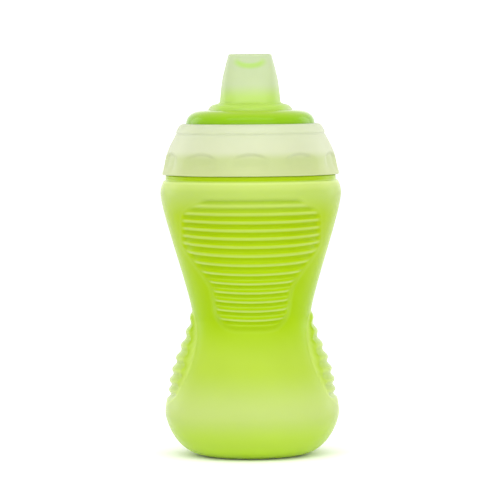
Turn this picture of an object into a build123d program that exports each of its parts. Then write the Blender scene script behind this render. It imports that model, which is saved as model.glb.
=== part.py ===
from build123d import *

import os
from math import cos, radians, sin, tan

# Child's spill-proof sippy cup, about 300 ml: an hourglass cup with ribbed grip panels, a screw
# collar with finger scallops, a domed lid ring, a soft spout, and the valve parts under it.
#
# The frame: +Z is up, the origin is the middle of the foot on the table, and -Y is the front.
# All lengths are in millimetres.

# ---- Driving dimensions ------------------------------------------------------------------

# Hourglass of the cup: radius and height of each place where its wall stands upright, and how far
# the curve keeps to the upright below and above it
foot_radius, foot_reach = 18.5, 14.0
bulb_radius, bulb_z, bulb_below, bulb_above = 36.3, 17.6, 2.0, 13.4
waist_radius, waist_z, waist_below, waist_above = 24.5, 57.0, 13.0, 8.6
shoulder_radius, shoulder_z, shoulder_below, shoulder_above = 37.6, 109.4, 8.3, 2.2
crest_radius, crest_z = 36.2, 114.4
wall = 1.5
recess_radius, recess_depth = 15.5, 1.6  # the hollow under the foot

# Neck with its three-start screw thread
step_radius, step_z = 35.4, 116.9
neck_radius, mouth_radius, rim_z = 31.6, 29.6, 125.75
thread_lead, thread_starts, thread_turns = 9.0, 3, 0.29
thread_root_half, thread_crest_half, thread_bite = 0.7, 0.3, 0.4
cup_thread_radius, cup_thread_z = 32.9, 119.1
collar_thread_radius, collar_bore_radius, collar_thread_z = 32.0, 33.5, 117.7

# Grip panels: front and back above the waist, left and right below it
rib_margin = 1.6  # plain edge of a panel outside the ends of its ribs
groove_radius, groove_depth = 1.4, 0.75
front_groove_top_z, front_groove_count, front_tilt = 107.0, 15, 13.0
front_close_pitch, front_wide_pitch, front_close_rows = 3.36, 3.78, 6
side_groove_top_z, side_groove_count = 54.7, 7
side_pitch, side_pitch_loss = 5.7, 0.32

# Screw collar
collar_bottom_z, collar_top_z = 117.4, 138.0
collar_skirt_radius, collar_bend_radius, collar_bend_z = 36.8, 35.0, 125.6
lip_radius, lip_z = 31.7, 132.4
crease_radius, crease_z, crease_depth = 31.2, 133.9, 0.35
opening_radius = 27.2
bore_end_z, flange_bore_radius, ledge_radius, ledge_z = 122.8, 31.9, 30.2, 129.6
pocket_radius, pocket_z, lip_under_z = 29.2, 133.4, 136.1
scallop_count, scallop_cut_radius, scallop_lean = 10, 14.0, 16.0
scallop_bed_radius, scallop_top_z = 34.0, 126.0

# Lid ring
flange_radius, flange_z, flange_top_z = 31.3, 127.4, 129.5
skirt_radius, skirt_inner_radius, skirt_z = 29.0, 27.2, 122.4
ring_radius, ring_z, ring_top_z = 26.8, 138.6, 143.6
lid_bore_radius, lid_roof_z, spout_hole_radius = 24.2, 141.75, 18.3
vent_hole_y, vent_hole_radius = 21.8, 0.8

# Soft spout
flange_outer_radius, flange_thickness = 19.6, 1.8
dome_radius, dome_shoulder_radius, dome_top_z = 18.0, 13.0, 146.2
spout_foot_z, spout_base_z, spout_top_z = 143.6, 146.6, 166.9
spout_base_size, spout_middle_size, spout_top_size = (25.4, 21.0), (23.3, 16.6), (17.9, 10.0)
spout_middle_z = 155.8
spout_wall, spout_tip, spout_edge_fillet = 1.7, 4.6, 1.3
well_size, well_depth = (10.6, 4.6), 1.8
drink_hole_radius, drink_hole_spacing = 0.8, 3.2

# Valve plate, and the two valves that push on to its posts
plate_radius, plate_z, plate_top_z = 24.15, 138.1, 139.9
flow_post_radius, flow_bore_radius, flow_post_z = 5.2, 3.9, 130.6
vent_y, vent_post_radius, vent_bore_radius, vent_post_z = 17.0, 2.3, 1.0, 133.0
vent_channel_width, vent_channel_depth = 2.0, 0.8
valve_gap, valve_wall, valve_end = 0.05, 1.4, 1.1
valve_lip_height, valve_lip_reach, valve_top_z = 1.4, 1.0, 136.0
slit_length, vent_slit_length, slit_width = 4.4, 1.6, 0.3

# Sealing ring between the lid's flange and the cup's rim
ring_gap = 0.05

upward = (Align.CENTER, Align.CENTER, Align.MIN)
downward = (Align.CENTER, Align.CENTER, Align.MAX)
both_ways = (Location((0, 0, 0)), Location((0, 0, 0), (0, 0, 180)))

os.makedirs("parts", exist_ok=True)


def save(piece, name):
    """Labels a finished piece and writes it as parts/NAME.step."""
    piece.label = name
    export_step(piece, f"parts/{name}.step")


# ---- Cup body ----------------------------------------------------------------------------


def hourglass(inset):
    """The plain hourglass below the neck, with its surface moved in by inset."""
    foot, bulb, waist = foot_radius, bulb_radius - inset, waist_radius - inset
    shoulder, crest = shoulder_radius - inset, crest_radius - inset
    with BuildPart() as form:
        with BuildSketch(Plane.XZ):
            with BuildLine():
                Line((0, inset), (foot, inset))
                Bezier(
                    (foot, inset),
                    (foot + foot_reach, inset),
                    (bulb, bulb_z - bulb_below),
                    (bulb, bulb_z),
                )
                Bezier(
                    (bulb, bulb_z),
                    (bulb, bulb_z + bulb_above),
                    (waist, waist_z - waist_below),
                    (waist, waist_z),
                )
                Bezier(
                    (waist, waist_z),
                    (waist, waist_z + waist_above),
                    (shoulder, shoulder_z - shoulder_below),
                    (shoulder, shoulder_z),
                )
                Bezier(
                    (shoulder, shoulder_z),
                    (shoulder, shoulder_z + shoulder_above),
                    (crest + 0.7, crest_z - 1.2),
                    (crest, crest_z),
                )
                Polyline((crest, crest_z), (0, crest_z), (0, inset))
            make_face()
        revolve(axis=Axis.Z)
    return Rot(Z=45) * form.part  # its seam lies between the panels


def panel_outline(corners, grow=0.0):
    """The face in XZ inside a panel's edge: right-hand corners as (x, z, rounding), mirrored."""
    mirrored = [(-x, z, rounding) for x, z, rounding in reversed(corners)]
    corners = [*corners, *mirrored]
    with BuildSketch(Plane.XZ) as outline:
        with BuildLine():
            points = [(x, z) for x, z, rounding in corners]
            FilletPolyline(*points, radius=[rounding for x, z, rounding in corners], close=True)
        make_face()
        if grow:
            offset(amount=grow)
    return outline.sketch


def grip_panel(corners, profile, inset):
    """A panel that faces -Y: solid from the axis out to its profile of (radius, z) points."""
    with BuildPart() as panel:
        with BuildSketch(Plane.XZ):
            with BuildLine():
                face_line = Spline(*[(r - inset, z) for r, z in profile])
                Polyline(face_line @ 1, (0, (face_line @ 1).Y), (0, (face_line @ 0).Y), face_line @ 0)
            make_face()
        revolve(axis=Axis.Z)
        extrude(panel_outline(corners, -inset), amount=60, mode=Mode.INTERSECT)
    return panel.part


def grooves(corners, rows):
    """Cutter for the grooves between ribs: one ring per (face radius, z, tilt), kept inside."""
    with BuildPart() as rings:
        for radius, z, tilt in rows:
            middle_z = z + radius * tan(radians(tilt))
            with Locations(Location((0, 0, middle_z), (tilt, 0, 0))):
                Torus(radius + groove_radius - groove_depth, groove_radius)
        extrude(panel_outline(corners, -rib_margin), amount=60, mode=Mode.INTERSECT)
    return rings.part


# Right-hand corners of each panel, as x, z and rounding, and the profile of its face
front_corners = [
    (19.0, 109.2, 6.0),
    (29.3, 102.4, 6.5),
    (29.3, 87.4, 9.0),
    (17.4, 70.8, 10.0),
    (15.0, 52.4, 12.0),
]
front_profile = [(25.8, 51.9), (27.9, 64.3), (29.6, 72.7), (33.7, 91.0), (37.2, 109.0)]
side_corners = [
    (6.0, 20.9, 5.0),
    (16.0, 25.0, 6.0),
    (17.2, 36.0, 14.0),
    (11.5, 50.5, 30.0),
    (5.0, 60.4, 4.0),
]
side_profile = [(25.0, 60.4), (28.1, 50.0), (32.1, 39.9), (34.6, 30.8), (34.7, 20.5)]


def face_radius(profile, z):
    """Radius of a panel's face at a height, along straight lines between its points."""
    points = sorted(profile, key=lambda point: point[1])
    for (low_r, low_z), (high_r, high_z) in zip(points, points[1:]):
        if z <= high_z:
            break
    return low_r + (high_r - low_r) * (z - low_z) / (high_z - low_z)


# Front grooves lie closer together in the upper rows, and lean more in the lower ones
front_rows = []
for row in range(front_groove_count):
    close_rows = min(row, front_close_rows)
    drop = close_rows * front_close_pitch + (row - close_rows) * front_wide_pitch
    groove_z = front_groove_top_z - drop
    tilt = front_tilt * row / (front_groove_count - 1)
    front_rows.append((face_radius(front_profile, groove_z), groove_z, tilt))

# Side grooves close up towards the foot
side_rows = []
for row in range(side_groove_count):
    groove_z = side_groove_top_z - row * side_pitch + side_pitch_loss * row * (row - 1) / 2
    side_rows.append((face_radius(side_profile, groove_z), groove_z, 0.0))

front_panel = grip_panel(front_corners, front_profile, 0.0)
side_panel = Rot(Z=90) * grip_panel(side_corners, side_profile, 0.0)
front_hollow = grip_panel(front_corners, front_profile, wall)
side_hollow = Rot(Z=90) * grip_panel(side_corners, side_profile, wall)
front_cut = grooves(front_corners, front_rows)
side_cut = Rot(Z=90) * grooves(side_corners, side_rows)


def thread(root_radius, crest_radius, start_z):
    """One screw ridge from its root to its crest, wherever the crest is, out or in."""
    sink = thread_bite if crest_radius > root_radius else -thread_bite
    with BuildPart() as ridge:
        with BuildLine() as path:
            with Locations((0, 0, start_z)):
                Helix(pitch=thread_lead, height=thread_lead * thread_turns, radius=root_radius)
        with BuildSketch(Plane.XZ):
            with BuildLine():
                Polyline(
                    (root_radius - sink, start_z - thread_root_half),
                    (crest_radius, start_z - thread_crest_half),
                    (crest_radius, start_z + thread_crest_half),
                    (root_radius - sink, start_z + thread_root_half),
                    close=True,
                )
            make_face()
        sweep(path=path.line, is_frenet=True)
    return ridge.part


cup_thread = thread(neck_radius, cup_thread_radius, cup_thread_z)
collar_thread = thread(collar_bore_radius, collar_thread_radius, collar_thread_z)
outside_form = hourglass(0.0)
inside_form = hourglass(wall)

with BuildPart() as cup_body:
    add(outside_form)
    with Locations(*both_ways):
        add([front_panel, side_panel])
    # the step under the collar, and the neck
    with Locations((0, 0, crest_z)):
        Cylinder(step_radius, step_z - crest_z, align=upward)
        Cylinder(neck_radius, rim_z - crest_z, align=upward)
    with Locations(*both_ways):
        add([front_cut, side_cut], mode=Mode.SUBTRACT)
    # inside, the wall follows the outside, and narrows to the mouth under the step
    add(inside_form, mode=Mode.SUBTRACT)
    with Locations(*both_ways):
        add([front_hollow, side_hollow], mode=Mode.SUBTRACT)
    with Locations((0, 0, crest_z - wall)):
        Cylinder(mouth_radius, rim_z, align=upward, mode=Mode.SUBTRACT)
    # the hollow under the foot, with the floor raised over it
    with Locations((0, 0, wall / 2)):
        Cylinder(recess_radius + wall, recess_depth + wall / 2, align=upward)
    Cylinder(recess_radius, recess_depth, align=upward, mode=Mode.SUBTRACT)
    with PolarLocations(0, thread_starts):
        add(cup_thread)
save(cup_body.part, "cup_body")

# ---- Screw collar ------------------------------------------------------------------------

with BuildPart() as screw_collar:
    with BuildSketch(Plane.XZ):
        with BuildLine():
            # outside, from the bottom edge up over the shoulder to the opening
            Line((collar_skirt_radius, collar_bottom_z), (collar_bend_radius + 0.8, collar_bend_z - 4.0))
            Bezier(
                (collar_bend_radius + 0.8, collar_bend_z - 4.0),
                (collar_bend_radius + 0.2, collar_bend_z),
                (lip_radius + 2.2, lip_z - 3.6),
                (lip_radius, lip_z),
            )
            Polyline(
                (lip_radius, lip_z),
                (crease_radius - crease_depth, crease_z - 0.3),
                (crease_radius - crease_depth, crease_z + 0.3),
            )
            Bezier(
                (crease_radius - crease_depth, crease_z + 0.3),
                (crease_radius - 0.7, crease_z + 1.9),
                (opening_radius + 2.0, collar_top_z),
                (opening_radius + 0.8, collar_top_z),
            )
            # inside, from the opening down to the bore
            Polyline(
                (opening_radius + 0.8, collar_top_z),
                (opening_radius, collar_top_z - 0.6),
                (opening_radius, lip_under_z),
                (pocket_radius - 1.6, lip_under_z),
                (pocket_radius, pocket_z),
                (ledge_radius, ledge_z),
                (flange_bore_radius, ledge_z),
                (flange_bore_radius, bore_end_z + 1.6),
                (collar_bore_radius, bore_end_z),
                (collar_bore_radius, collar_bottom_z),
                (collar_skirt_radius, collar_bottom_z),
            )
        make_face()
    revolve(axis=Axis.Z)
    # finger scallops, leaning so that they fade out at the bottom edge
    lean = radians(scallop_lean)
    cut_x = scallop_bed_radius + scallop_cut_radius * cos(lean)
    cut_z = scallop_top_z + scallop_cut_radius * sin(lean)
    with PolarLocations(0, scallop_count, start_angle=-90):
        with Locations(Location((cut_x, 0, cut_z), (0, -scallop_lean, 0))):
            Cylinder(scallop_cut_radius, 30, align=downward, mode=Mode.SUBTRACT)
    with PolarLocations(0, thread_starts):
        add(collar_thread)
save(screw_collar.part, "screw_collar")

# ---- Lid ring ----------------------------------------------------------------------------

with BuildPart() as lid_dome:
    with BuildSketch(Plane.XZ):
        with BuildLine():
            Polyline(
                (ring_radius, ring_z),
                (ring_radius, flange_top_z),
                (flange_radius, flange_top_z),
                (flange_radius, flange_z),
                (skirt_radius, flange_z),
                (skirt_radius, skirt_z),
                (skirt_inner_radius, skirt_z),
                (skirt_inner_radius, flange_z - 0.6),
                (lid_bore_radius, flange_z + 2.4),
                (lid_bore_radius, lid_roof_z - 1.4),
                (lid_bore_radius - 1.4, lid_roof_z),
                (spout_hole_radius, lid_roof_z),
                (spout_hole_radius, ring_top_z),
            )
            Bezier(
                (spout_hole_radius, ring_top_z),
                (ring_radius - 3.6, ring_top_z),
                (ring_radius - 0.5, ring_z + 3.4),
                (ring_radius, ring_z),
            )
        make_face()
    revolve(axis=Axis.Z)
    with Locations((0, vent_hole_y, ring_top_z)):
        Cylinder(vent_hole_radius, 12, mode=Mode.SUBTRACT)
save(lid_dome.part, "lid_dome")

# ---- Soft spout --------------------------------------------------------------------------


def spout_loft(sections):
    """A tapered oval horn through slot-shaped sections, each one a height and a size."""
    with BuildPart() as form:
        for z, size in sections:
            with BuildSketch(Plane.XY.offset(z)):
                SlotOverall(*size)
        loft()
    return form.part


def narrowed(size, amount):
    """A slot's length and width, made smaller all round."""
    length, width = size
    return (length - 2 * amount, width - 2 * amount)


spout_flange_z = plate_top_z
spout_flange_top_z = plate_top_z + flange_thickness
inner_top_z = spout_top_z - spout_tip
taper = (inner_top_z - spout_middle_z) / (spout_top_z - spout_middle_z)
at_inner_top = tuple(m + (t - m) * taper for m, t in zip(spout_middle_size, spout_top_size))
horn = spout_loft(
    [
        (spout_base_z, spout_base_size),
        (spout_middle_z, spout_middle_size),
        (spout_top_z, spout_top_size),
    ]
)
hollow = spout_loft(
    [
        (dome_top_z - spout_wall - 1.0, narrowed(spout_base_size, spout_wall)),
        (spout_middle_z, narrowed(spout_middle_size, spout_wall)),
        (inner_top_z, narrowed(at_inner_top, spout_wall)),
    ]
)

with BuildPart() as soft_spout:
    with BuildSketch(Plane.XZ):
        with BuildLine():
            Polyline(
                (0, spout_flange_z),
                (flange_outer_radius, spout_flange_z),
                (flange_outer_radius, spout_flange_top_z),
                (dome_radius, spout_flange_top_z),
                (dome_radius, ring_top_z),
            )
            Bezier(
                (dome_radius, ring_top_z),
                (dome_radius - 0.4, ring_top_z + 1.0),
                (dome_shoulder_radius + 2.6, dome_top_z - 0.6),
                (dome_shoulder_radius, dome_top_z),
            )
            Polyline((dome_shoulder_radius, dome_top_z), (0, dome_top_z + 0.6), (0, spout_flange_z))
        make_face()
    revolve(axis=Axis.Z)
    # the horn's foot stands upright, then the horn tapers
    with BuildSketch(Plane.XY.offset(spout_foot_z)):
        SlotOverall(*spout_base_size)
    extrude(amount=spout_base_z - spout_foot_z)
    add(horn)
    fillet(soft_spout.edges().group_by(Axis.Z)[-1], spout_edge_fillet)
    # inside: a round chamber under the dome, then the horn up to the thick tip
    with BuildSketch(Plane.XZ):
        with BuildLine():
            Polyline(
                (0, spout_flange_z),
                (dome_radius - spout_wall, spout_flange_z),
                (dome_radius - spout_wall, ring_top_z - 1.6),
                (dome_shoulder_radius, dome_top_z - spout_wall),
                (0, dome_top_z - spout_wall),
                close=True,
            )
        make_face()
    revolve(axis=Axis.Z, mode=Mode.SUBTRACT)
    add(hollow, mode=Mode.SUBTRACT)
    # the drinking well, and its holes
    with BuildSketch(Plane.XY.offset(spout_top_z)):
        SlotOverall(*well_size)
    extrude(amount=-well_depth, mode=Mode.SUBTRACT)
    with BuildSketch(Plane.XY.offset(spout_top_z)):
        with GridLocations(drink_hole_spacing, 0, 3, 1):
            Circle(drink_hole_radius)
    extrude(amount=-spout_tip - 1, mode=Mode.SUBTRACT)
save(soft_spout.part, "soft_spout")

# ---- Valve plate and valves --------------------------------------------------------------

posts = (
    (0.0, flow_post_radius, flow_bore_radius, flow_post_z),
    (vent_y, vent_post_radius, vent_bore_radius, vent_post_z),
)
with BuildPart() as valve_plate:
    with Locations((0, 0, plate_z)):
        Cylinder(plate_radius, plate_top_z - plate_z, align=upward)
    chamfer(valve_plate.edges().filter_by(GeomType.CIRCLE), 0.3)
    for y, outer, bore, bottom_z in posts:
        with Locations((0, y, bottom_z)):
            Cylinder(outer, plate_top_z - bottom_z - 0.4, align=upward)
    for y, outer, bore, bottom_z in posts:
        with Locations((0, y, bottom_z)):
            Cylinder(bore, plate_top_z - bottom_z, align=upward, mode=Mode.SUBTRACT)
    # air channel from the vent's post out past the spout's flange
    with BuildSketch(Plane.XY.offset(plate_top_z)):
        with Locations((0, (vent_y + vent_hole_y) / 2)):
            SlotCenterToCenter(vent_hole_y - vent_y, vent_channel_width, rotation=90)
    extrude(amount=-vent_channel_depth, mode=Mode.SUBTRACT)
save(valve_plate.part, "valve_plate")


def push_on_valve(y, post_radius, post_z, slits):
    """A soft cup that fits over a post, with a pull rim and a slit end."""
    inner = post_radius + valve_gap
    outer = inner + valve_wall
    with BuildPart() as valve:
        with Locations((0, y, post_z - valve_gap - valve_end)):
            Cylinder(outer, valve_top_z - post_z + valve_gap + valve_end, align=upward)
        with Locations((0, y, valve_top_z - valve_lip_height)):
            Cylinder(outer + valve_lip_reach, valve_lip_height, align=upward)
        with Locations((0, y, post_z - valve_gap)):
            Cylinder(inner, valve_top_z, align=upward, mode=Mode.SUBTRACT)
        with Locations((0, y, post_z)):
            for length, width in slits:
                Box(length, width, 3 * valve_end, mode=Mode.SUBTRACT)
    return valve.part


cross_slit = [(slit_length, slit_width), (slit_width, slit_length)]
spill_valve = push_on_valve(0.0, flow_post_radius, flow_post_z, cross_slit)
save(spill_valve, "spill_valve")

vent_valve = push_on_valve(vent_y, vent_post_radius, vent_post_z, [(vent_slit_length, slit_width)])
save(vent_valve, "vent_valve")

# ---- Sealing ring ------------------------------------------------------------------------

with BuildPart() as sealing_ring:
    with BuildSketch(Plane.XZ):
        with Locations(((skirt_radius + flange_radius) / 2, (rim_z + flange_z) / 2)):
            RectangleRounded(
                flange_radius - skirt_radius - 2 * ring_gap, flange_z - rim_z - 2 * ring_gap, 0.5
            )
    revolve(axis=Axis.Z)
save(sealing_ring.part, "sealing_ring")
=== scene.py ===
"""Looks for a spill-proof sippy cup: each piece is built in metres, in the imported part's frame.

-Y is the front, +Z is up and the cup stands on z = 0. Sizes below are in millimetres, and are
turned into metres where the vertices are made.
"""

import math

import bmesh
import bpy
import numpy as np
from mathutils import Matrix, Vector


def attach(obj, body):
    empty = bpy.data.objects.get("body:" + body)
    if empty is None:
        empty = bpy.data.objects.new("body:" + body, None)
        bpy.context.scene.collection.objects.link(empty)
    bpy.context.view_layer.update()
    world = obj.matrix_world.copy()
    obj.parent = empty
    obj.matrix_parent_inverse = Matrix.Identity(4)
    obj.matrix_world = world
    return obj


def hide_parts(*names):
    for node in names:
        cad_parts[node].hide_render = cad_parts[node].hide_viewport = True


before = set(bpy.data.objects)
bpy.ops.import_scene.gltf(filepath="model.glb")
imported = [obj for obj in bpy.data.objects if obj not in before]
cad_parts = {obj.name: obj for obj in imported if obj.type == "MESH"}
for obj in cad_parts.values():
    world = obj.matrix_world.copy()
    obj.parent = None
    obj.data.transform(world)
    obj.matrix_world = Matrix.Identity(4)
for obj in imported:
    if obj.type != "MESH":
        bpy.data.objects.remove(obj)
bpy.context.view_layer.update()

MM = 0.001

# ---- Shapes, in millimetres ----------------------------------------------------------------------
#
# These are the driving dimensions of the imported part. A few differ on purpose: its grooves are
# deeper here, its thread is wider at the root, the collar comes lower with a narrower opening and
# a deeper crease, and the spout is wider at its foot.

foot_radius, foot_reach = 18.5, 14.0
bulb_radius, bulb_z, bulb_below, bulb_above = 36.3, 17.6, 2.0, 13.4
waist_radius, waist_z, waist_below, waist_above = 24.5, 57.0, 13.0, 8.6
shoulder_radius, shoulder_z, shoulder_below, shoulder_above = 37.6, 109.4, 8.3, 2.2
crest_radius, crest_z, crest_lead = 36.2, 114.4, (0.7, 1.2)
wall = 1.5
recess_radius, recess_depth = 15.5, 1.6
step_radius, step_z = 35.4, 116.9
neck_radius, mouth_radius, rim_z = 31.6, 29.6, 125.75

thread_lead, thread_starts, thread_turns, thread_taper = 9.0, 3, 0.29, 0.25
thread_root_half, thread_crest_half = 0.75, 0.3
cup_thread_radius, cup_thread_z = 32.9, 119.1
collar_thread_radius, collar_bore_radius, collar_thread_z = 32.0, 33.5, 117.7

groove_depth, rib_fade, rib_shade_offset, inside_clearance = 1.1, 1.8, 0.5, 0.3
edge_line_depth, edge_line_half = 0.3, 1.0
front_groove_top_z, front_groove_count, front_tilt = 107.0, 15, 13.0
front_close_pitch, front_wide_pitch, front_close_rows = 3.36, 3.78, 6
side_groove_top_z, side_groove_count = 54.7, 7
side_pitch, side_pitch_loss = 5.7, 0.32

# corners as (half width, z, rounding), and profiles as (radius, z)
front_corners = [
    (19.0, 109.2, 6.0),
    (29.3, 102.4, 6.5),
    (29.3, 87.4, 9.0),
    (17.4, 70.8, 10.0),
    (15.0, 52.4, 12.0),
]
front_profile = [(25.8, 51.9), (27.9, 64.3), (29.6, 72.7), (33.7, 91.0), (37.2, 109.0)]
side_corners = [
    (6.0, 20.9, 5.0),
    (16.0, 25.0, 6.0),
    (17.2, 36.0, 14.0),
    (11.5, 50.5, 30.0),
    (5.0, 60.4, 4.0),
]
side_profile = [(25.0, 60.4), (28.1, 50.0), (32.1, 39.9), (34.6, 30.8), (34.7, 20.5)]


# ---- Mesh helpers --------------------------------------------------------------------------------


def bezier(p0, p1, p2, p3, count=40):
    """Points along a cubic curve, without its last point."""
    t = np.linspace(0, 1, count, endpoint=False)[:, None]
    p0, p1, p2, p3 = (np.array(p, float) for p in (p0, p1, p2, p3))
    return (1 - t) ** 3 * p0 + 3 * t * (1 - t) ** 2 * p1 + 3 * t * t * (1 - t) * p2 + t**3 * p3


def rounded(corners, closed=True, steps=6):
    """A polyline through (x, y, rounding) corners, with an arc of that radius at each."""
    points = [np.array(c[:2], float) for c in corners]
    count = len(points)
    path = []
    for i, corner in enumerate(corners):
        here, radius = points[i], corner[2]
        if radius <= 0 or (not closed and i in (0, count - 1)):
            path.append(here)
            continue
        back, ahead = points[i - 1] - here, points[(i + 1) % count] - here
        back_unit, ahead_unit = back / np.linalg.norm(back), ahead / np.linalg.norm(ahead)
        half = math.acos(np.clip(back_unit @ ahead_unit, -1, 1)) / 2
        longest = 0.49 * min(np.linalg.norm(back), np.linalg.norm(ahead))
        reach = min(radius / math.tan(half), longest)
        radius = reach * math.tan(half)
        bisector = (back_unit + ahead_unit) / np.linalg.norm(back_unit + ahead_unit)
        centre = here + bisector * radius / math.sin(half)
        start, end = here + back_unit * reach - centre, here + ahead_unit * reach - centre
        first = math.atan2(start[1], start[0])
        sweep = (math.atan2(end[1], end[0]) - first + math.pi) % (2 * math.pi) - math.pi
        for step in range(steps + 1):
            angle = first + sweep * step / steps
            path.append(centre + radius * np.array([math.cos(angle), math.sin(angle)]))
    return np.array(path)


def resample(path, spacing, closed=False):
    """Points along a polyline, keeping both of its ends.

    spacing is about how far apart they are, or a function that gives it at a point.
    """
    path = np.asarray(path, float)
    if closed:
        path = np.vstack([path, path[:1]])
    lengths = np.linalg.norm(np.diff(path, axis=0), axis=1)
    along = np.concatenate([[0], np.cumsum(lengths)])
    places = [0.0]
    while places[-1] < along[-1]:
        here = np.array([np.interp(places[-1], along, path[:, k]) for k in (0, 1)])
        places.append(places[-1] + (spacing(here) if callable(spacing) else spacing))
    places = np.array(places) * along[-1] / places[-1]
    made = np.stack([np.interp(places, along, path[:, k]) for k in (0, 1)], axis=1)
    return made[:-1] if closed else made


def make_object(name, vertices, faces, smooth=True):
    """A mesh object from vertices in millimetres, with its faces turned outwards."""
    mesh = bpy.data.meshes.new(name)
    mesh.from_pydata((np.asarray(vertices) * MM).tolist(), [], faces)
    tidy = bmesh.new()
    tidy.from_mesh(mesh)
    bmesh.ops.recalc_face_normals(tidy, faces=tidy.faces)
    tidy.to_mesh(mesh)
    tidy.free()
    mesh.polygons.foreach_set("use_smooth", [smooth] * len(mesh.polygons))
    piece = bpy.data.objects.new(name, mesh)
    bpy.context.scene.collection.objects.link(piece)
    return piece


def skin(name, rows, closed):
    """A mesh over rows of points, each row a ring. A row whose points all meet is one point."""
    rows = np.asarray(rows, float)
    row_count, columns = rows.shape[:2]
    vertices, index = [], []
    for row in rows:
        if np.ptp(row, axis=0).max() < 1e-6:
            index.append([len(vertices)] * columns)
            vertices.append(row[0])
        else:
            index.append(list(range(len(vertices), len(vertices) + columns)))
            vertices.extend(row)
    faces = []
    for i in range(row_count if closed else row_count - 1):
        low, high = index[i], index[(i + 1) % row_count]
        for j in range(columns):
            k = (j + 1) % columns
            corners = [low[j], low[k], high[k], high[j]]
            face = [c for n, c in enumerate(corners) if c not in corners[:n]]
            if len(face) > 2:
                faces.append(face)
    return make_object(name, vertices, faces)


def ring_rows(path, columns, centre=(0.0, 0.0)):
    """Rows of a turned shape from its (radius, z) path."""
    angles = np.linspace(0, 2 * math.pi, columns, endpoint=False)
    path = np.asarray(path, float)
    rows = np.zeros((len(path), columns, 3))
    rows[:, :, 0] = path[:, :1] * np.cos(angles) + centre[0]
    rows[:, :, 1] = path[:, :1] * np.sin(angles) + centre[1]
    rows[:, :, 2] = path[:, 1:]
    return rows


def turned(name, path, columns=128, centre=(0.0, 0.0), closed=True):
    """A turned piece from its (radius, z) path."""
    return skin(name, ring_rows(path, columns, centre), closed)


def rod(name, radius, low_z, high_z, columns, centre):
    """A plain round cutter."""
    path = [(0, low_z), (radius, low_z), (radius, high_z), (0, high_z)]
    return turned(name, path, columns, centre, closed=False)


def polar(rows):
    """Radius, angle and height of every point in rows."""
    return (
        np.hypot(rows[:, :, 0], rows[:, :, 1]),
        np.arctan2(rows[:, :, 1], rows[:, :, 0]),
        rows[:, :, 2],
    )


def pushed_out(rows, distance):
    """Rows with each point moved away from the axis by its distance."""
    angles = polar(rows)[1]
    rows = rows.copy()
    rows[:, :, 0] += distance * np.cos(angles)
    rows[:, :, 1] += distance * np.sin(angles)
    return rows


def combine(target, tool, operation):
    """Joins, cuts or keeps by a tool object, which is then removed."""
    step = target.modifiers.new("combine", "BOOLEAN")
    step.object, step.operation, step.solver = tool, operation, "EXACT"
    graph = bpy.context.evaluated_depsgraph_get()
    made = bpy.data.meshes.new_from_object(target.evaluated_get(graph))
    target.modifiers.remove(step)
    target.data = made
    bpy.data.objects.remove(tool)


def smoothstep(value):
    """From 0 at and below 0 to 1 at and above 1, easing at both ends."""
    value = np.clip(value, 0, 1)
    return value * value * (3 - 2 * value)


def inside_distance(outline, x, z):
    """How far each point lies inside a closed outline: negative outside it."""
    points = np.stack([x.ravel(), z.ravel()], axis=1)
    start, end = outline, np.roll(outline, -1, axis=0)
    nearest = np.full(len(points), 1e9)
    crossings = np.zeros(len(points), bool)
    for a, b in zip(start, end):
        side = b - a
        along = np.clip((points - a) @ side / (side @ side), 0, 1)
        nearest = np.minimum(nearest, np.linalg.norm(points - a - along[:, None] * side, axis=1))
        spans = (a[1] > points[:, 1]) != (b[1] > points[:, 1])
        rise = b[1] - a[1] if b[1] != a[1] else 1e-9
        crossings ^= spans & (points[:, 0] < a[0] + (points[:, 1] - a[1]) * side[0] / rise)
    return np.where(crossings, nearest, -nearest).reshape(x.shape)


def curve_through(points, at):
    """Smooth radius at each height, through a panel's (radius, z) points."""
    points = sorted(points, key=lambda p: p[1])
    heights, radii = (np.array([p[k] for p in points], float) for k in (1, 0))
    slopes = np.gradient(radii, heights)
    at = np.clip(at, heights[0], heights[-1])
    i = np.clip(np.searchsorted(heights, at) - 1, 0, len(heights) - 2)
    span = heights[i + 1] - heights[i]
    t = (at - heights[i]) / span
    return (
        (1 + 2 * t) * (1 - t) ** 2 * radii[i]
        + t * (1 - t) ** 2 * span * slopes[i]
        + t * t * (3 - 2 * t) * radii[i + 1]
        + t * t * (t - 1) * span * slopes[i + 1]
    )


def thread_height(angles, z, root, crest, start_z):
    """Height of the screw ridges above their root, for each angle and height."""
    height = np.zeros_like(z)
    for start in range(thread_starts):
        turn = ((angles - 2 * math.pi * start / thread_starts) % (2 * math.pi)) / (2 * math.pi)
        off = np.abs(z - start_z - thread_lead * turn)
        tooth = smoothstep((thread_root_half - off) / (thread_root_half - thread_crest_half))
        ends = smoothstep(np.minimum(turn, thread_turns - turn) / (thread_turns * thread_taper))
        height = np.maximum(height, tooth * ends * (turn <= thread_turns))
    return height * (crest - root)


# ---- Cup body ------------------------------------------------------------------------------------


def hourglass(inset):
    """The outline of the plain hourglass, from the foot up to the crest, moved in by inset."""
    foot = (foot_radius, inset)
    bulb = (bulb_radius - inset, bulb_z)
    waist = (waist_radius - inset, waist_z)
    shoulder = (shoulder_radius - inset, shoulder_z)
    crest = (crest_radius - inset, crest_z)
    return np.vstack(
        [
            bezier(foot, (foot_radius + foot_reach, inset), (bulb[0], bulb_z - bulb_below), bulb),
            bezier(bulb, (bulb[0], bulb_z + bulb_above), (waist[0], waist_z - waist_below), waist),
            bezier(
                waist,
                (waist[0], waist_z + waist_above),
                (shoulder[0], shoulder_z - shoulder_below),
                shoulder,
            ),
            bezier(
                shoulder,
                (shoulder[0], shoulder_z + shoulder_above),
                (crest[0] + crest_lead[0], crest_z - crest_lead[1]),
                crest,
            ),
        ]
    )


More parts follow.
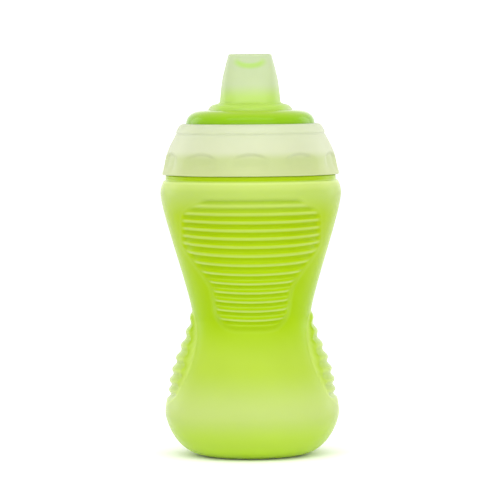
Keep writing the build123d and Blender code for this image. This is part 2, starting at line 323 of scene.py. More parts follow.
def groove_heights(top_z, count, pitch):
    """Height of each groove from the top one down, with one more at each end."""
    heights = [top_z + pitch(0)]
    for row in range(count + 1):
        heights.append(heights[-1] - pitch(row - 1))
    return np.array(heights)


FRONT_GROOVES = groove_heights(
    front_groove_top_z,
    front_groove_count,
    lambda row: front_close_pitch if row < front_close_rows else front_wide_pitch,
)
SIDE_GROOVES = groove_heights(
    side_groove_top_z, side_groove_count, lambda row: side_pitch - side_pitch_loss * max(row, 0)
)


def panel_shape(angle, radius, z, panel, ribbed):
    """How far a grip panel lifts the wall outwards, and its painted light and shade: 1 on a rib, -1
    in a groove.

    angle is measured from the panel's middle. The inside of the wall isn't ribbed.
    """
    x = radius * np.sin(angle)
    depth = np.where(np.cos(angle) > 0, inside_distance(panel["outline"], x, z), -10.0)
    rise = np.maximum(curve_through(panel["profile"], z) - radius, 0)
    if not ribbed:
        lift = np.maximum(rise - inside_clearance, 0) * smoothstep((depth - wall) / panel["edge"])
        return lift, np.zeros_like(z)
    lift = rise * smoothstep(depth / panel["edge"])
    margin = np.interp(z, *panel["margin"])
    ends = smoothstep((depth - margin) / rib_fade)
    wave = panel["wave"](angle, radius, z)
    lift -= groove_depth * ends * wave
    # painted light and shade: the slope that faces up, just below each groove, is the palest; lower
    # down, both slopes are
    both = np.interp(z, *panel["both"])
    upper = 1 - 2 * panel["wave"](angle, radius, z + rib_shade_offset)
    slopes = 1 - 2 * (1 - 2 * wave) ** 2
    shade = ends * panel["shade"] * (upper * (1 - 0.3 * both) + both * slopes)
    # a painted highlight along the panel's own edge, where it catches the light
    edge = 1 - smoothstep(np.abs(depth - edge_line_depth) / edge_line_half)
    return lift, shade + panel["edge_shade"] * edge * (1 - ends)


def groove_wave(z, heights):
    """From 0 on a rib's crest to 1 in a groove."""
    row = np.interp(-z, -heights, np.arange(-1, len(heights) - 1))
    inside = (row > -0.5) & (row < len(heights) - 2.5)
    return (0.5 + 0.5 * np.cos(2 * math.pi * row)) * inside


def front_wave(angle, radius, z):
    """Grooves whose ends rise towards the sides, more so lower down."""
    middle_z = z
    for _ in range(3):
        drop = (front_groove_top_z - middle_z) / (front_groove_top_z - FRONT_GROOVES[-2])
        tilt = np.radians(front_tilt * np.clip(drop, 0, 1))
        middle_z = z - radius * (1 - np.cos(angle)) * np.tan(tilt)
    return groove_wave(middle_z, FRONT_GROOVES)


def side_wave(angle, radius, z):
    """Level grooves."""
    return groove_wave(z, SIDE_GROOVES)


# shade sets the strength of the ribs' painted light and shade, and edge_shade that of the painted
# highlight along the panel's edge
FRONT_PANEL = {
    "outline": rounded([*front_corners, *[(-x, z, r) for x, z, r in front_corners[::-1]]]),
    "profile": front_profile,
    "margin": ([70.0, 90.0], [2.0, 0.6]),  # plain edge outside the ribs, by height
    "edge": 4.6,
    "shade": 1.0,
    "edge_shade": 0.1,
    # both: painted light on the slopes that face down, by height
    "both": ([72.0, 92.0], [0.9, 0.0]),  # how pale the slopes that face down are, by height
    "wave": front_wave,
}
SIDE_PANEL = {
    "outline": rounded([*side_corners, *[(-x, z, r) for x, z, r in side_corners[::-1]]]),
    "profile": side_profile,
    "margin": ([0.0, 60.0], [0.5, 0.5]),
    "edge": 1.8,
    "shade": 0.4,
    "edge_shade": 1.0,
    "both": ([0.0, 60.0], [0.0, 0.0]),
    "wave": side_wave,
}


def lifted(rows, ribbed):
    """Adds the four grip panels to rows of points, and gives each point's painted light and shade.
    """
    radius, angles, z = polar(rows)
    inset = 0.0 if ribbed else wall
    lift, shade = np.zeros_like(z), np.zeros_like(z)
    panels = ((-90, FRONT_PANEL), (90, FRONT_PANEL), (0, SIDE_PANEL), (180, SIDE_PANEL))
    for middle, panel in panels:
        offset = (angles - math.radians(middle) + math.pi) % (2 * math.pi) - math.pi
        more_lift, more_shade = panel_shape(offset, radius + inset, z, panel, ribbed)
        lift, shade = lift + more_lift, shade + more_shade
    return pushed_out(rows, lift), shade


def build_cup(columns=224):
    """The cup's shell, from under its foot, up its outside, over its rim and down its inside."""
    ribbed_low_z, ribbed_high_z = 20.0, 112.0
    outside = resample(
        hourglass(0.0), lambda point: 0.42 if ribbed_low_z < point[1] < ribbed_high_z else 1.0
    )
    neck = rounded(
        [
            (crest_radius, crest_z, 0),
            (step_radius, crest_z + 0.3, 0.4),
            (step_radius, step_z, 0.6),
            (neck_radius, step_z, 0.4),
            (neck_radius, rim_z, 0.6),
            (mouth_radius, rim_z, 0.6),
            (mouth_radius, crest_z + 1.0, 1.5),
            (crest_radius - wall, crest_z + 0.2, 2.0),
            (crest_radius - wall, crest_z - 1.2, 0),
        ],
        closed=False,
    )
    neck = resample(neck, 0.4)
    inside = resample(hourglass(wall)[::-1], 2.2)
    inside = inside[inside[:, 1] < crest_z - 2.0]
    foot = rounded(
        [
            (foot_radius, 0.0, 0),
            (recess_radius, 0.0, 0.8),
            (recess_radius - 0.8, recess_depth, 1.0),
            (0.0, recess_depth, 0),
        ],
        closed=False,
    )[::-1]
    floor = rounded(
        [
            (foot_radius, wall, 0),
            (recess_radius + 1.2, wall + 0.2, 1.0),
            (recess_radius, wall + recess_depth, 1.5),
            (0.0, wall + recess_depth, 0),
        ],
        closed=False,
    )
    foot_spacing = 1.6
    # each stretch's path, and whether its panels are ribbed; the ends and the neck have no panels
    parts = [
        (resample(foot, foot_spacing)[:-1], None),
        (outside, True),
        (neck[1:], None),
        (inside, False),
        (resample(floor, foot_spacing), None),
    ]
    rows, shades = [], []
    for path, ribbed in parts:
        made = ring_rows(path, columns)
        shade = np.zeros(made.shape[:2])
        if ribbed is not None:
            made, shade = lifted(made, ribbed)
        rows.append(made)
        shades.append(shade)
    rows, shades = np.concatenate(rows), np.concatenate(shades)
    radius, angles, z = polar(rows)
    on_neck = (np.abs(radius - neck_radius) < 0.05) & (z > step_z)
    ridge = thread_height(angles, z, neck_radius, cup_thread_radius, cup_thread_z)
    rows = pushed_out(rows, np.where(on_neck, ridge, 0))
    cup = skin("cup", rows, closed=False)
    # the two end rows, whose points all meet, are one vertex each
    single = np.ptp(rows, axis=1).max(axis=1) < 1e-6
    values = np.concatenate([shade[:1] if one else shade for shade, one in zip(shades, single)])
    # the ribs' painted light and shade, read by the cup's material
    attribute = cup.data.attributes.new("rib_shade", "FLOAT", "POINT")
    attribute.data.foreach_set("value", values.astype(np.float32))
    return cup


# ---- Screw collar --------------------------------------------------------------------------------

collar_bottom_z, collar_top_z = 116.95, 138.0
collar_skirt_radius, collar_bend_radius, collar_bend_z = 36.8, 35.0, 125.6
lip_radius, lip_z = 31.7, 132.4
crease_radius, crease_z, crease_depth = 31.2, 133.9, 0.6
opening_radius = 26.95
bore_end_z, flange_bore_radius, ledge_radius, ledge_z = 122.8, 31.9, 30.2, 129.6
pocket_radius, pocket_z, lip_under_z = 29.2, 133.4, 136.1
scallop_count, scallop_depth = 10, 1.15
scallop_top_z, scallop_half_width, scallop_arch = 126.0, 7.6, 2.0
scallop_edge, scallop_fade = 1.8, 5.5


def scallops(angles, z):
    """Depth of the finger scallops: an arched top edge, fading out towards the bottom."""
    step = 2 * math.pi / scallop_count
    offset = (angles + math.pi / 2 + step / 2) % step - step / 2
    across = offset * collar_bend_radius / scallop_half_width
    bowl = smoothstep(1.2 * (1.25 - np.abs(across)))
    top = scallop_top_z - scallop_arch * across**2
    below = smoothstep((top - z) / scallop_edge + 0.5)
    fade = smoothstep((z - collar_bottom_z + 0.6) / scallop_fade)
    return scallop_depth * bowl * below * fade


def build_collar(columns=320):
    """The collar, from its bottom edge up its outside, and down its threaded inside."""
    outside = np.vstack(
        [
            [(collar_skirt_radius - 0.3, collar_bottom_z)],
            [(collar_skirt_radius - 0.1, collar_bottom_z + 0.05)],
            [(collar_skirt_radius, collar_bottom_z + 0.25)],
            bezier(
                (collar_bend_radius + 0.8, collar_bend_z - 4.0),
                (collar_bend_radius + 0.2, collar_bend_z),
                (lip_radius + 2.2, lip_z - 3.6),
                (lip_radius, lip_z),
            ),
            rounded(
                [
                    (lip_radius, lip_z, 0),
                    (crease_radius + 0.1, crease_z - 0.5, 0.5),
                    (crease_radius - crease_depth, crease_z, 0.35),
                    (crease_radius - 0.1, crease_z + 0.5, 0.6),
                    (crease_radius - 0.5, crease_z + 1.5, 0),
                ],
                closed=False,
            ),
            bezier(
                (crease_radius - 0.6, crease_z + 1.6),
                (crease_radius - 1.3, crease_z + 2.9),
                (opening_radius + 2.4, collar_top_z),
                (opening_radius + 1.0, collar_top_z),
                24,
            ),
        ]
    )
    inside = rounded(
        [
            (opening_radius + 0.9, collar_top_z, 0),
            (opening_radius, collar_top_z, 0.7),
            (opening_radius, lip_under_z, 0.4),
            (pocket_radius - 1.6, lip_under_z, 0.8),
            (pocket_radius, pocket_z, 0.6),
            (ledge_radius, ledge_z, 0.3),
            (flange_bore_radius, ledge_z, 0.3),
            (flange_bore_radius, bore_end_z + 1.6, 0.4),
            (collar_bore_radius, bore_end_z, 0.4),
            (collar_bore_radius, collar_bottom_z, 0.4),
            (collar_skirt_radius - 0.3, collar_bottom_z, 0),
        ],
        closed=False,
    )[:-1]
    outside = resample(outside, 0.4)
    inside = resample(inside, 0.45)
    rows = np.concatenate([ring_rows(outside, columns), ring_rows(inside[1:], columns)])
    radius, angles, z = polar(rows)
    change = np.zeros_like(z)
    change[: len(outside)] -= scallops(angles, z)[: len(outside)]
    on_bore = (np.abs(radius - collar_bore_radius) < 0.05) & (z < bore_end_z)
    on_bore[: len(outside)] = False
    ridge = thread_height(angles, z, collar_bore_radius, collar_thread_radius, collar_thread_z)
    change += np.where(on_bore, ridge, 0)
    return skin("collar", pushed_out(rows, change), closed=True)


# ---- Lid ring ------------------------------------------------------------------------------------

flange_radius, flange_z, flange_top_z = 31.3, 127.4, 129.5
skirt_radius, skirt_inner_radius, skirt_z = 29.0, 27.2, 122.4
ring_radius, ring_z, ring_top_z = 26.8, 138.6, 143.6
lid_bore_radius, lid_roof_z, spout_hole_radius = 24.2, 141.75, 18.3
vent_hole_y, vent_hole_radius = 21.8, 0.8


def build_lid(columns=192):
    """The lid ring, with its flange and skirt, and an air hole."""
    dome = bezier(
        (ring_radius, ring_z),
        (ring_radius - 0.5, ring_z + 3.4),
        (ring_radius - 3.6, ring_top_z),
        (spout_hole_radius + 0.6, ring_top_z),
        24,
    )
    body = rounded(
        [
            (spout_hole_radius + 0.6, ring_top_z, 0),
            (spout_hole_radius, ring_top_z, 0.4),
            (spout_hole_radius, lid_roof_z, 0.3),
            (lid_bore_radius - 1.4, lid_roof_z, 0.6),
            (lid_bore_radius, lid_roof_z - 1.4, 0.6),
            (lid_bore_radius, flange_z + 2.4, 1.0),
            (skirt_inner_radius, flange_z - 0.6, 1.0),
            (skirt_inner_radius, skirt_z, 0.5),
            (skirt_radius, skirt_z, 0.7),
            (skirt_radius, flange_z, 0.3),
            (flange_radius, flange_z, 0.5),
            (flange_radius, flange_top_z, 0.5),
            (ring_radius, flange_top_z, 0.4),
            (ring_radius, ring_z, 0),
        ],
        closed=False,
    )
    path = np.vstack([dome, resample(body, 0.6)[:-1]])
    lid = turned("lid_ring", path, columns)
    hole_low_z, hole_high_z = ring_top_z - 8, ring_top_z + 2
    hole = rod("vent_hole", vent_hole_radius, hole_low_z, hole_high_z, 32, (0, vent_hole_y))
    combine(lid, hole, "DIFFERENCE")
    return lid


# ---- Soft spout ----------------------------------------------------------------------------------

flange_outer_radius, flange_thickness = 19.6, 1.8
dome_radius, dome_shoulder_radius, dome_top_z = 18.0, 13.0, 146.2
spout_base_z, spout_top_z = 146.6, 166.9
# half sizes by height, across and from front to back
spout_lengths = [(12.7, spout_base_z), (11.65, 155.8), (8.95, spout_top_z)]
spout_widths = [(12.6, spout_base_z), (10.9, 149.8), (8.4, 155.8), (5.0, spout_top_z)]
spout_wall, spout_tip, spout_edge = 1.7, 4.6, 1.2
well_half, well_depth = (5.3, 2.3), 1.8
drink_hole_radius, drink_hole_spacing = 0.8, 3.2
plate_radius, plate_z, plate_top_z = 24.15, 138.1, 139.9


def oval_row(half, z, angles, power=2.6):
    """A row of points round a superellipse of the given half sizes."""
    c, s = np.cos(angles), np.sin(angles)
    x = np.sign(c) * np.abs(c) ** (2 / power) * half[0]
    y = np.sign(s) * np.abs(s) ** (2 / power) * half[1]
    return np.stack([x, y, np.full_like(x, z)], axis=1)


def horn_half(z, inset=0.0):
    """Half sizes of the horn at a height: upright at its foot, then tapering."""
    return [float(curve_through(points, z)) - inset for points in (spout_lengths, spout_widths)]


def build_spout(columns=192):
    """The spout, from its well over its tip, down the horn and dome, and up its hollow inside."""
    angles = np.linspace(0, 2 * math.pi, columns, endpoint=False)
    rows = []

    def add_oval(half, z, power=2.6):
        """Adds one more row to the spout's skin."""
        rows.append(oval_row(half, z, angles, power))

    # the drinking well, from the middle of its floor up to its rounded lip
    floor_z, corner, lip, well_power = spout_top_z - well_depth, 0.8, 0.4, 3.0
    for share in (0.0, 0.35, 0.7):
        add_oval([h * share for h in well_half], floor_z)
    for a in np.linspace(0, math.pi / 2, 7):
        inset = corner * (1 - math.sin(a))
        height = floor_z + corner * (1 - math.cos(a))
        add_oval([h - inset for h in well_half], height, well_power)
    for z in np.linspace(floor_z + corner, spout_top_z - lip, 6)[1:]:
        add_oval(well_half, z, well_power)
    for a in np.linspace(0, math.pi / 2, 5)[1:]:
        grow = lip * (1 - math.cos(a))
        height = spout_top_z - lip * (1 - math.sin(a))
        add_oval([h + grow for h in well_half], height, well_power)
    # the tip's rounded edge, and the horn down to its foot
    for a in np.linspace(math.pi / 2, 0, 9):
        inset = spout_edge * (1 - math.cos(a))
        height = spout_top_z - spout_edge * (1 - math.sin(a))
        add_oval(horn_half(spout_top_z - spout_edge, inset), height)
    for z in np.linspace(spout_top_z - spout_edge, dome_top_z + 0.9, 40)[1:]:
        add_oval(horn_half(z), z)
    # a small fillet on to the dome, and the dome out to the flange
    dome = rounded(
        [
            (dome_shoulder_radius + 0.7, dome_top_z + 0.1, 0),
            (16.8, 145.5, 6.0),
            (dome_radius, ring_top_z - 0.8, 3.0),
            (dome_radius, plate_top_z + flange_thickness, 0.3),
            (flange_outer_radius, plate_top_z + flange_thickness, 0.5),
            (flange_outer_radius, plate_top_z, 0.5),
            (dome_radius - spout_wall, plate_top_z, 0.3),
            (dome_radius - spout_wall, ring_top_z - 0.8, 1.2),
            (dome_shoulder_radius, dome_top_z - spout_wall, 0),
        ],
        closed=False,
    )
    foot, shoulder = rows[-1], ring_rows(dome[:1], columns)[0]
    for t in (0.2, 0.45, 0.75):
        blend = foot * (1 - t) + shoulder * t
        blend[:, 2] = shoulder[:, 2] + (foot[:, 2] - shoulder[:, 2]) * (1 - t) ** 2
        rows.append(blend)
    rows.extend(ring_rows(resample(dome, 0.6), columns))
    # the hollow horn, up to the underside of the thick tip
    roof_z = spout_top_z - spout_tip
    for z in np.linspace(dome_top_z - spout_wall + 0.4, roof_z - 1.0, 24):
        add_oval(horn_half(z, spout_wall), z)
    for a in np.linspace(0, math.pi / 2, 5)[1:]:
        add_oval(horn_half(roof_z, spout_wall + 1 - math.cos(a)), roof_z - 1 + math.sin(a))
    for share in (0.6, 0.3, 0.0):
        add_oval([h * share for h in horn_half(roof_z, spout_wall + 1)], roof_z)
    spout = skin("spout", rows, closed=False)
    for side in (-1, 0, 1):
        centre = (side * drink_hole_spacing, 0)
        hole = rod("drink_hole", drink_hole_radius, roof_z - 1, floor_z + 1, 32, centre)
        combine(spout, hole, "DIFFERENCE")
    return spout


# ---- Valve plate, valves and sealing ring --------------------------------------------------------

flow_post_radius, flow_bore_radius, flow_post_z = 5.2, 3.9, 130.6
vent_y, vent_post_radius, vent_bore_radius, vent_post_z = 17.0, 2.3, 1.0, 133.0
vent_channel_half, vent_channel_depth = 1.0, 0.8
valve_gap, valve_wall, valve_end, valve_top_z = 0.05, 1.4, 1.1, 136.0
valve_lip_height, valve_lip_reach = 1.4, 1.0
slit_length, vent_slit_length, slit_width = 4.4, 1.6, 0.3
ring_gap, seal_rounding = 0.05, 0.45


def solid_turned(name, corners, columns, centre=(0.0, 0.0)):
    """A turned solid whose (radius, z, rounding) corners start and end on its axis."""
    return turned(name, rounded(corners, closed=False), columns, centre, closed=False)


def block(name, size, centre):
    """A rectangular cutter."""
    signs = [(x, y, z) for x in (-1, 1) for y in (-1, 1) for z in (-1, 1)]
    corners = [[c + s * e / 2 for c, s, e in zip(centre, sign, size)] for sign in signs]
    faces = [(0, 1, 3, 2), (4, 6, 7, 5), (0, 4, 5, 1), (2, 3, 7, 6), (0, 2, 6, 4), (1, 5, 7, 3)]
    return make_object(name, corners, faces, smooth=False)


def build_plate():
    """The plate with its two posts, their bores, and the channel from the vent to the air hole."""
    plate = solid_turned(
        "valve_plate_piece",
        [
            (0, flow_post_z + 1, 0),
            (flow_bore_radius - 0.5, flow_post_z + 1, 0),
            (flow_bore_radius, flow_post_z, 0.3),
            (flow_post_radius, flow_post_z, 0.4),
            (flow_post_radius, plate_z, 0.6),
            (plate_radius, plate_z, 0.4),
            (plate_radius, plate_top_z, 0.4),
            (0, plate_top_z, 0),
        ],
        160,
    )
    post_top_z = plate_z + 0.8
    post = solid_turned(
        "vent_post",
        [
            (0, vent_post_z, 0),
            (vent_post_radius, vent_post_z, 0.4),
            (vent_post_radius, post_top_z, 0),
            (0, post_top_z, 0),
        ],
        64,
        (0, vent_y),
    )
    combine(plate, post, "UNION")
    bores = [
        ((0.0, 0.0), flow_bore_radius, flow_post_z),
        ((0.0, vent_y), vent_bore_radius, vent_post_z),
    ]
    for centre, radius, low_z in bores:
        bore = rod("bore", radius, low_z - 1, plate_top_z + 1, 64, centre)
        combine(plate, bore, "DIFFERENCE")
    channel_length = vent_hole_y - vent_y + 2 * vent_channel_half
    channel = block(
        "channel",
        (2 * vent_channel_half, channel_length, 2 * vent_channel_depth),
        (0, (vent_y + vent_hole_y) / 2, plate_top_z),
    )
    combine(plate, channel, "DIFFERENCE")
    return plate


def build_valve(name, y, post_radius, post_z, slits):
    """A soft cup that pushes on to a post, with a pull rim at its top and a slit in its end."""
    inner = post_radius + valve_gap
    outer = inner + valve_wall
    end_z = post_z - valve_gap
    lip_low_z, lip_outer = valve_top_z - valve_lip_height, outer + valve_lip_reach
    valve = solid_turned(
        name,
        [
            (0, end_z - valve_end, 0),
            (outer, end_z - valve_end, 0.9),
            (outer, lip_low_z, 0.5),
            (lip_outer, lip_low_z, 0.5),
            (lip_outer, valve_top_z, 0.5),
            (inner, valve_top_z, 0.3),
            (inner, end_z, 0.3),
            (0, end_z, 0),
        ],
        96,
        (0, y),
    )
    for length, width in slits:
        slit = block("slit", (length, width, 3 * valve_end), (0, y, post_z))
        combine(valve, slit, "DIFFERENCE")
    return valve


def build_seal():
    """The sealing ring, just clear of the flange, the cup's rim and the skirt."""
    inner, outer = skirt_radius + ring_gap, flange_radius - ring_gap
    low_z, high_z = rim_z + ring_gap, flange_z - ring_gap
    corners = [(inner, low_z), (outer, low_z), (outer, high_z), (inner, high_z)]
    path = rounded([(*corner, seal_rounding) for corner in corners])
    return turned("seal", resample(path, 0.2, closed=True), 160)


# ---- Materials -----------------------------------------------------------------------------------


class Shader:
    """A small helper round one material's node tree."""

    def __init__(self, name, **sockets):
        self.material = bpy.data.materials.new(name)
        self.material.use_nodes = True
        self.tree = self.material.node_tree
        self.surface = self.tree.nodes["Principled BSDF"]
        for socket, value in sockets.items():
            self.surface.inputs[socket.replace("_", " ")].default_value = value
        self.place = self.node("ShaderNodeTexCoord").outputs["Object"]

    def node(self, kind, **settings):
        """A new node with these settings."""
        made = self.tree.nodes.new(kind)
        for key, value in settings.items():
            setattr(made, key, value)
        return made

    def feed(self, value, socket):
        """Gives a socket another node's output, or a plain colour."""
        if isinstance(value, tuple):
            socket.default_value = (*value, 1.0)
        else:
            self.tree.links.new(value, socket)

    def noise(self, scale, detail=3.0):
        """Noise over the object's own space, with scale in features per metre."""
        noise = self.node("ShaderNodeTexNoise")
        noise.inputs["Scale"].default_value = scale
        noise.inputs["Detail"].default_value = detail
        self.feed(self.place, noise.inputs["Vector"])
        return noise.outputs["Fac"]

    def ramp(self, factor, stops):
        """Colours that run smoothly through (position, colour) stops."""
        ramp = self.node("ShaderNodeValToRGB")
        ramp.color_ramp.interpolation = "EASE"
        elements = ramp.color_ramp.elements
        while len(elements) < len(stops):
            elements.new(0.5)
        for element, (position, colour) in zip(elements, stops):
            element.position = position
            element.color = (*colour, 1.0)
        self.feed(factor, ramp.inputs["Fac"])
        return ramp.outputs["Color"]

    def spread(self, value, low, high, to_low=0.0, to_high=1.0):
        """A value moved from one range to another, and kept inside it."""
        spread = self.node("ShaderNodeMapRange")
        spread.inputs["From Min"].default_value = low
        spread.inputs["From Max"].default_value = high
        spread.inputs["To Min"].default_value = to_low
        spread.inputs["To Max"].default_value = to_high
        self.feed(value, spread.inputs["Value"])
        return spread.outputs["Result"]

    def height(self, low_mm, high_mm):
        """From 0 at the low height to 1 at the high one."""
        apart = self.node("ShaderNodeSeparateXYZ")
        self.feed(self.place, apart.inputs["Vector"])
        return self.spread(apart.outputs["Z"], low_mm * MM, high_mm * MM)

    def masked(self, attribute, low, high):
        """From 0 where a mesh attribute is low to 1 where it is high."""
        stored = self.node("ShaderNodeAttribute", attribute_name=attribute)
        return self.spread(stored.outputs["Fac"], low, high)

    def blob(self, centre_mm, half_mm):
        """From 1 in the middle of an oval, seen from the front as (x, z), to 0 at its edge."""
        mapping = self.node("ShaderNodeMapping", vector_type="TEXTURE")
        mapping.inputs["Location"].default_value = (centre_mm[0] * MM, 0, centre_mm[1] * MM)
        mapping.inputs["Scale"].default_value = (half_mm[0] * MM, 1000.0, half_mm[1] * MM)
        self.feed(self.place, mapping.inputs["Vector"])
        oval = self.node("ShaderNodeTexGradient", gradient_type="SPHERICAL")
        self.feed(mapping.outputs["Vector"], oval.inputs["Vector"])
        return self.ramp(oval.outputs["Fac"], [(0.1, (0, 0, 0)), (0.5, (1, 1, 1))])

    def blended(self, colour, other, mask):
        """A colour, replaced by another one where the mask is 1."""
        blend = self.node("ShaderNodeMix", data_type="RGBA")
        self.feed(mask, blend.inputs["Factor"])
        self.feed(colour, blend.inputs["A"])
        self.feed(other, blend.inputs["B"])
        return blend.outputs["Result"]

    def mottled(self, colour, amount, scale):
        """A colour, light and dark by a faint cloudiness as in moulded plastic."""
        blend = self.node("ShaderNodeMix", data_type="RGBA", blend_type="MULTIPLY")
        blend.inputs["Factor"].default_value = 1.0
        cloud = self.ramp(self.noise(scale), [(0.3, (1 - amount,) * 3), (0.7, (1, 1, 1))])
        self.feed(colour, blend.inputs["A"])
        self.feed(cloud, blend.inputs["B"])
        return blend.outputs["Result"]

    def colour(self, colour):
        """Sets the surface's colour."""
        self.feed(colour, self.surface.inputs["Base Color"])

    def roughness(self, low, high, scale):
        """A roughness that wanders between two values."""
        wander = self.spread(self.noise(scale), 0.3, 0.7, low, high)
        self.feed(wander, self.surface.inputs["Roughness"])

    def bump(self, scale, depth_mm):
        """A fine unevenness."""
        bump = self.node("ShaderNodeBump")
        bump.inputs["Strength"].default_value = 1.0
        bump.inputs["Distance"].default_value = depth_mm * MM
        self.feed(self.noise(scale, 2.0), bump.inputs["Height"])
        self.feed(bump.outputs["Normal"], self.surface.inputs["Normal"])


def cup_plastic():
    """Tinted, milky lime plastic with a soft moulded shine, its colour holding painted light and
    shade: pale bands of painted reflection, a painted highlight at the crest and deeper green
    through the waist.
    """
    shader = Shader(
        "cup_plastic",
        Specular_IOR_Level=0.12,
        Specular_Tint=(0.85, 1.0, 0.4, 1.0),
        Subsurface_Weight=0.2,
        Subsurface_Radius=(1.0, 1.0, 0.1),
        Subsurface_Scale=0.001,
    )
    # colour by height, with painted light and shade in it
    tone = shader.ramp(
        shader.height(0.0, 118.0),
        [
            # paler at the foot: painted light, lifting the shade where the cup meets the floor
            (0.0, (0.44, 0.66, 0.02)),
            # a pale band of painted reflection round the bulb
            (0.06, (0.37, 0.53, 0.05)),
            (0.17, (0.38, 0.48, 0.13)),
            (0.33, (0.33, 0.46, 0.04)),
            # deeper green through the waist: painted shade
            (0.5, (0.28, 0.44, 0.0)),
            (0.84, (0.30, 0.43, 0.0)),
            # a pale band of painted reflection round the shoulder
            (0.935, (0.34, 0.45, 0.09)),
            (0.96, (0.40, 0.50, 0.12)),
            # a painted highlight along the shoulder's crest, then painted shade in the band under
            # the collar
            (0.968, (0.50, 0.62, 0.18)),
            (0.976, (0.30, 0.45, 0.0)),
            (1.0, (0.38, 0.54, 0.02)),
        ],
    )
    # painted light on the ribs, and painted shade deep in the grooves between them
    tone = shader.blended(tone, (0.48, 0.60, 0.16), shader.masked("rib_shade", 0.0, 1.7))
    tone = shader.blended(tone, (0.26, 0.41, 0.0), shader.masked("rib_shade", 0.0, -1.6))
    shader.colour(shader.mottled(tone, 0.03, 40.0))
    shader.roughness(0.2, 0.26, 60.0)
    shader.bump(300.0, 0.001)
    return shader.material


def collar_plastic():
    """Satin, opaque pale green, with painted shade low down and painted light towards its top."""
    shader = Shader(
        "collar_plastic",
        Subsurface_Weight=0.25,
        Subsurface_Radius=(1.0, 1.0, 0.5),
        Subsurface_Scale=0.003,
    )
    # darker round the skirt and paler towards the top: painted shade where the surface stands
    # upright, and painted light where it faces up
    tone = shader.ramp(
        shader.height(117.0, 138.0),
        [
            (0.0, (0.38, 0.43, 0.18)),
            (0.3, (0.36, 0.42, 0.17)),
            (0.5, (0.44, 0.475, 0.30)),
            (1.0, (0.43, 0.475, 0.30)),
        ],
    )
    shader.colour(shader.mottled(tone, 0.03, 50.0))
    shader.roughness(0.36, 0.42, 60.0)
    shader.bump(700.0, 0.005)
    return shader.material


def lid_plastic():
    """Clear green plastic with a high gloss, paler towards its top with painted light."""
    shader = Shader(
        "lid_plastic",
        Coat_Weight=0.05,
        Coat_Roughness=0.05,
        Specular_IOR_Level=0.15,
    )
    # paler towards the ring's top, which faces up: painted light
    tone = shader.ramp(
        shader.height(122.0, 143.6),
        [
            (0.0, (0.17, 0.36, 0.0)),
            (0.82, (0.19, 0.38, 0.0)),
            (1.0, (0.28, 0.43, 0.02)),
        ],
    )
    shader.colour(shader.mottled(tone, 0.04, 60.0))
    shader.roughness(0.1, 0.16, 60.0)
    shader.bump(400.0, 0.003)
    return shader.material


def spout_silicone():
    """Soft, frosted silicone, with painted green light at its foot from the green below showing
    through, and painted shade where its well shows through the tip.
    """
    shader = Shader(
        "spout_silicone",
        Subsurface_Weight=0.3,
        Subsurface_Radius=(1.0, 1.0, 0.5),
        Subsurface_Scale=0.003,
    )
    # painted green light at the foot, from the green below showing through; paler higher up
    tone = shader.ramp(
        shader.height(143.0, 167.0),
        [
            (0.0, (0.30, 0.48, 0.03)),
            (0.2, (0.33, 0.49, 0.07)),
            (0.5, (0.38, 0.455, 0.24)),
            (1.0, (0.38, 0.455, 0.26)),
        ],
    )
    # painted light: clear of the green, the sides of its dome are pale
    tone = shader.blended((0.46, 0.52, 0.30), tone, shader.blob((0.0, 150.0), (23.0, 60.0)))
    tone = shader.mottled(tone, 0.03, 80.0)
    # painted shade: the drinking well, showing through the tip, as a greener curve
    below_well = shader.blended(tone, (0.31, 0.48, 0.10), shader.blob((0.0, 163.4), (8.6, 3.6)))
    inside_well = shader.blob((0.0, 164.9), (7.2, 2.8))
    shader.colour(shader.blended(below_well, tone, inside_well))
    shader.roughness(0.32, 0.4, 80.0)
    shader.bump(700.0, 0.006)
    return shader.material


def plate_plastic():
    """Frosted natural plastic."""
    shader = Shader(
        "plate_plastic",
        Subsurface_Weight=0.4,
        Subsurface_Radius=(1.0, 1.0, 0.8),
        Subsurface_Scale=0.004,
    )
    cloudy = [(0.3, (0.74, 0.78, 0.66)), (0.7, (0.82, 0.85, 0.75))]
    shader.colour(shader.ramp(shader.noise(60.0), cloudy))
    shader.roughness(0.34, 0.44, 140.0)
    shader.bump(1200.0, 0.012)
    return shader.material


def soft_silicone(name, dark, pale):
    """Matt moulded silicone, a little dusty."""
    shader = Shader(
        name,
        Subsurface_Weight=0.5,
        Subsurface_Radius=(1.0, 1.0, 0.9),
        Subsurface_Scale=0.003,
    )
    shader.colour(shader.ramp(shader.noise(220.0, 5.0), [(0.3, dark), (0.7, pale)]))
    shader.roughness(0.45, 0.6, 400.0)
    shader.bump(2200.0, 0.02)
    return shader.material


# ---- Pieces --------------------------------------------------------------------------------------


def place(piece, body, node, material):
    """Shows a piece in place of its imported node, moving with its body."""
    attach(piece, body)
    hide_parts(node)
    piece.data.materials.clear()
    piece.data.materials.append(material)
    piece.data.polygons.foreach_set("material_index", [0] * len(piece.data.polygons))


place(build_cup(), "cup", "cup_body", cup_plastic())
place(build_collar(), "collar", "screw_collar", collar_plastic())
place(build_lid(), "lid", "lid_dome", lid_plastic())
place(build_spout(), "spout_insert", "soft_spout", spout_silicone())
place(build_plate(), "spout_insert", "valve_plate", plate_plastic())

cross_slit = [(slit_length, slit_width), (slit_width, slit_length)]
vent_slit = [(vent_slit_length, slit_width)]
flow_cup = build_valve("spill_valve_cup", 0.0, flow_post_radius, flow_post_z, cross_slit)
vent_cup = build_valve("vent_valve_cup", vent_y, vent_post_radius, vent_post_z, vent_slit)
valve_material = soft_silicone("valve_silicone", (0.66, 0.68, 0.64), (0.76, 0.77, 0.73))
place(flow_cup, "flow_valve", "spill_valve", valve_material)
place(vent_cup, "air_valve", "vent_valve", valve_material)

seal_material = soft_silicone("seal_silicone", (0.55, 0.56, 0.52), (0.64, 0.65, 0.6))
place(build_seal(), "lid", "sealing_ring", seal_material)


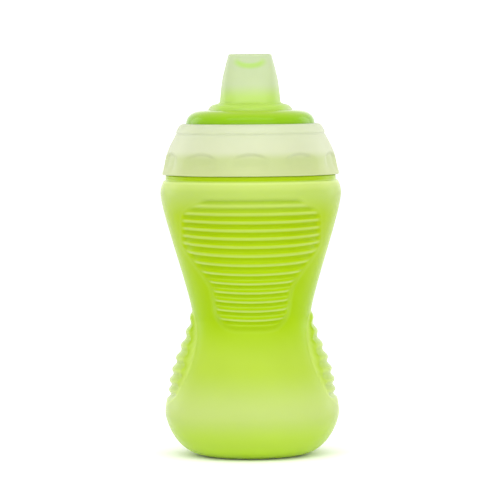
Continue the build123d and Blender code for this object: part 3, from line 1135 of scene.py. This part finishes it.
# ---- Floor, light and camera, in metres ----------------------------------------------------------


def aim(thing, target):
    """Turns a light or camera towards a point."""
    towards = Vector(target) - thing.location
    thing.rotation_euler = towards.to_track_quat("-Z", "Y").to_euler()


def add_light(name, location, target, size, energy):
    """A rectangular softbox, aimed at a point."""
    light = bpy.data.lights.new(name, "AREA")
    light.shape, light.energy = "RECTANGLE", energy
    light.size, light.size_y = size
    thing = bpy.data.objects.new(name, light)
    thing.location = location
    bpy.context.scene.collection.objects.link(thing)
    aim(thing, target)


def build_floor():
    """A plain pale floor."""
    half = 4000.0
    corners = [(-half, -half, 0.0), (half, -half, 0.0), (half, half, 0.0), (-half, half, 0.0)]
    floor = make_object("floor", corners, [(0, 1, 2, 3)])
    shader = Shader("floor_white", Roughness=0.9, Specular_IOR_Level=0.1)
    faint = [(0.3, (0.93, 0.93, 0.93)), (0.7, (0.95, 0.95, 0.95))]
    shader.colour(shader.ramp(shader.noise(3.0), faint))
    floor.data.materials.append(shader.material)


def build_world(strength, stops):
    """A studio's grey surroundings, with (position, level) stops from straight down to up."""
    world = bpy.data.worlds.new("studio")
    bpy.context.scene.world = world
    world.use_nodes = True
    nodes, links = world.node_tree.nodes, world.node_tree.links
    background = nodes["Background"]
    background.inputs["Strength"].default_value = strength
    direction = nodes.new("ShaderNodeTexCoord")
    upward = nodes.new("ShaderNodeSeparateXYZ")
    spread = nodes.new("ShaderNodeMapRange")
    spread.inputs["From Min"].default_value = -1.0
    glow = nodes.new("ShaderNodeValToRGB")
    elements = glow.color_ramp.elements
    while len(elements) < len(stops):
        elements.new(0.5)
    for element, (position, level) in zip(elements, stops):
        element.position, element.color = position, (level, level, level, 1.0)
    links.new(direction.outputs["Generated"], upward.inputs["Vector"])
    links.new(upward.outputs["Z"], spread.inputs["Value"])
    links.new(spread.outputs["Result"], glow.inputs["Fac"])
    links.new(glow.outputs["Color"], background.inputs["Color"])


def add_camera(location, target, roll, lens):
    """The scene's camera, turned by roll degrees about its own axis."""
    camera = bpy.data.objects.new("camera", bpy.data.cameras.new("camera"))
    bpy.context.scene.collection.objects.link(camera)
    camera.location = location
    aim(camera, target)
    camera.rotation_euler.rotate_axis("Z", math.radians(roll))
    camera.data.lens, camera.data.sensor_width = lens, 36
    bpy.context.scene.camera = camera


build_floor()
build_world(1.7, [(0.0, 0.5), (0.42, 0.7), (0.5, 0.88), (0.62, 0.82), (0.75, 0.68), (1.0, 0.66)])

cup_middle = (0.0, 0.0, 0.085)
add_light("front_softbox", (0.1, -1.2, 0.35), cup_middle, (2.0, 0.5), 4.0)
add_light("top_softbox", (0.0, -0.7, 1.1), cup_middle, (1.6, 0.6), 5.5)
for side in (-1, 1):
    add_light("side_strip", (side * 1.0, 0.6, 0.3), cup_middle, (0.5, 1.0), 2.0)

add_camera((-0.0005, -1.40, 0.160), (-0.0005, 0.0, 0.0853), -0.40, 242.3)
bpy.context.scene.view_settings.view_transform = "Standard"
